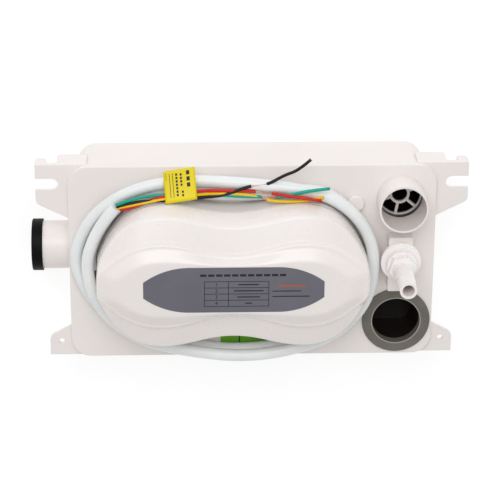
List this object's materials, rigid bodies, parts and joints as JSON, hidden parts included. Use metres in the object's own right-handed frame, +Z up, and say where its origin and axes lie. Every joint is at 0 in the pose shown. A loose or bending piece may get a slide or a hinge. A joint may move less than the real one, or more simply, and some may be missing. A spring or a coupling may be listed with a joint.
{
  "type": "condensate pump",
  "caption": "Low condensate pump: tank with ears, lid with inlets and hose barb, wavy motor cover, cable coiled round it, floats and pump inside.",
  "frame": {"origin": "centre of the tank's flat underside", "axes": "+X along the tank towards the outlet, +Y towards the wall side with the rod slots, +Z up through the lid"},
  "size_m": [0.2875, 0.1466, 0.112],
  "materials": {
    "black_plastic": "moulded",
    "black_rubber": "matt",
    "board_green": "solder mask",
    "bobbin_plastic": "moulded",
    "bracket_metal": "die cast",
    "bronze": "sintered",
    "capacitor_black": "sleeved",
    "clear_pipe": "extruded",
    "copper_winding": "enamelled wire",
    "core_black": "extruded",
    "core_green": "extruded",
    "core_red": "extruded",
    "core_yellow": "extruded",
    "flag_yellow": "printed film",
    "float_foam": "moulded foam",
    "grey_rubber": "moulded, matt",
    "label_grey": "printed film",
    "lamination_steel": "stacked laminations",
    "pump_plastic": "moulded",
    "relay_blue": "moulded",
    "rotor_metal": "cast cage",
    "steel": "plated",
    "sticker_green": "printed film",
    "terminal_green": "moulded",
    "valve_rubber": "moulded",
    "white_abs": "moulded, satin gloss",
    "white_pvc": "extruded, satin"
  },
  "bodies": {
    "housing": {"board_screws": "steel", "cable_coil": "white_pvc", "cable_gland": "white_pvc", "capacitor": "capacitor_black", "control_board": "board_green", "cover_gasket": "black_rubber", "cover_label": "label_grey", "cover_screws": "steel", "delivery_pipe": "clear_pipe", "float_stems": "pump_plastic", "float_stops": "steel", "green_sticker": "sticker_green", "hose_barb": "white_abs", "inlet_seal": "grey_rubber", "inlet_strainer": "white_abs", "lid": "white_abs", "lower_bearing": "bronze", "lower_bracket": "bracket_metal", "motor_cover": "white_abs", "motor_screws": "steel", "motor_stator": "lamination_steel", "motor_winding": "copper_winding", "outlet_clip": "white_abs", "outlet_o_ring": "black_rubber", "relay": "relay_blue", "signal_flag": "flag_yellow", "suction_plate": "pump_plastic", "tank": "white_abs", "tank_gasket": "black_rubber", "terminal_block": "terminal_green", "upper_bearing": "bronze", "upper_bracket": "bracket_metal", "vent_cap": "white_abs", "volute": "pump_plastic", "winding_bobbin": "bobbin_plastic", "wire_black": "core_black", "wire_green": "core_green", "wire_red": "core_red", "wire_yellow": "core_yellow"},
    "rotor": {"motor_rotor": "rotor_metal", "motor_shaft": "steel", "impeller": "pump_plastic"},
    "start_float": {"start_float": "float_foam"},
    "alarm_float": {"alarm_float": "float_foam"},
    "valve_ball": {"valve_ball": "valve_rubber"},
    "side_cap": {"side_cap": "black_plastic"}
  },
  "joints": [
    {"name": "rotor_spin", "type": "hinge", "parent": "housing", "child": "rotor", "pos_m": [-0.06, 0, 0.05], "axis": [0, 0, 1], "continuous": true},
    {"name": "start_float_rise", "type": "slide", "parent": "housing", "child": "start_float", "axis": [0, 0, 1], "range_m": [0, 0.012]},
    {"name": "alarm_float_rise", "type": "slide", "parent": "housing", "child": "alarm_float", "axis": [0, 0, 1], "range_m": [0, 0.009]},
    {"name": "valve_ball_lift", "type": "slide", "parent": "housing", "child": "valve_ball", "axis": [0, 0, 1], "range_m": [0, 0.004]},
    {"name": "side_cap_pull", "type": "slide", "parent": "housing", "child": "side_cap", "axis": [-1, 0, 0], "range_m": [0, 0.012]}
  ]
}
